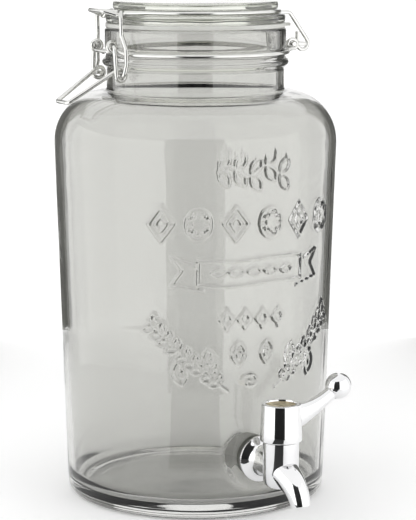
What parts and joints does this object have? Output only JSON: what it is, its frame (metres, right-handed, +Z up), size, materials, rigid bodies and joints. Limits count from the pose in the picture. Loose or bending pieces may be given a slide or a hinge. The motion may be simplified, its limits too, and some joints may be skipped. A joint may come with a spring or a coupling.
{
  "type": "drinks dispenser",
  "caption": "Round glass drinks dispenser jar with a hinged clip-top glass lid, a wire toggle closure and a turning tap near the foot.",
  "frame": {"origin": "centre of the flat foot", "axes": "+Z up, the tap points to -Y, the toggle lever is at -X and the lid hinge at +X"},
  "size_m": [0.2075, 0.265, 0.3576],
  "materials": {
    "jar_glass": "clear pressed soda-lime glass with a faint green-grey cast",
    "lid_glass": "thick clear pressed glass, olive at its edges",
    "silicone": "translucent white silicone",
    "bright_wire": "bright nickel-plated steel wire",
    "chromed_plastic": "mirror-chromed moulded plastic",
    "brass_foil": "satin brass-coloured insert",
    "screw_steel": "plain steel",
    "white_plastic": "moulded white plastic",
    "seal_rubber": "pale soft seal",
    "ring_rubber": "black ring seal"
  },
  "bodies": {
    "jar": {"jar_body": "jar_glass", "neck_wire": "bright_wire", "hinge_staple": "bright_wire", "tap_body": "chromed_plastic", "front_seal_washer": "seal_rubber", "rear_seal_washer": "seal_rubber", "back_nut": "white_plastic"},
    "lid": {"lid_glass": "lid_glass", "lid_gasket": "silicone", "lid_wire": "bright_wire"},
    "lever": {"closing_lever": "bright_wire"},
    "bail": {"latch_bail": "bright_wire"},
    "tap_valve": {"tap_handle": "chromed_plastic", "valve_plug": "white_plastic", "plug_o_ring_lower": "ring_rubber", "plug_o_ring_upper": "ring_rubber", "handle_cap_disc": "brass_foil", "handle_screw": "screw_steel"}
  },
  "joints": [
    {"name": "lid_hinge", "type": "hinge", "parent": "jar", "child": "lid", "pos_m": [0.0886, 0, 0.325], "axis": [0, 1, 0], "range_deg": [0, 100]},
    {"name": "lever_pivot", "type": "hinge", "parent": "jar", "child": "lever", "pos_m": [-0.0719, 0, 0.327], "axis": [0, 1, 0], "range_deg": [0, 120]},
    {"name": "bail_pivot", "type": "hinge", "parent": "lever", "child": "bail", "pos_m": [-0.06785, 0, 0.3074], "axis": [0, 1, 0], "range_deg": [-280, 0]},
    {"name": "tap_turn", "type": "hinge", "parent": "jar", "child": "tap_valve", "pos_m": [0, -0.12871, 0.076], "axis": [0, 0, 1], "range_deg": [-90, 0]}
  ],
  "couplings": [
    {"joint": "lever_pivot", "follows": "lid_hinge", "ratio": 1.2},
    {"joint": "bail_pivot", "follows": "lid_hinge", "ratio": -2.8}
  ]
}
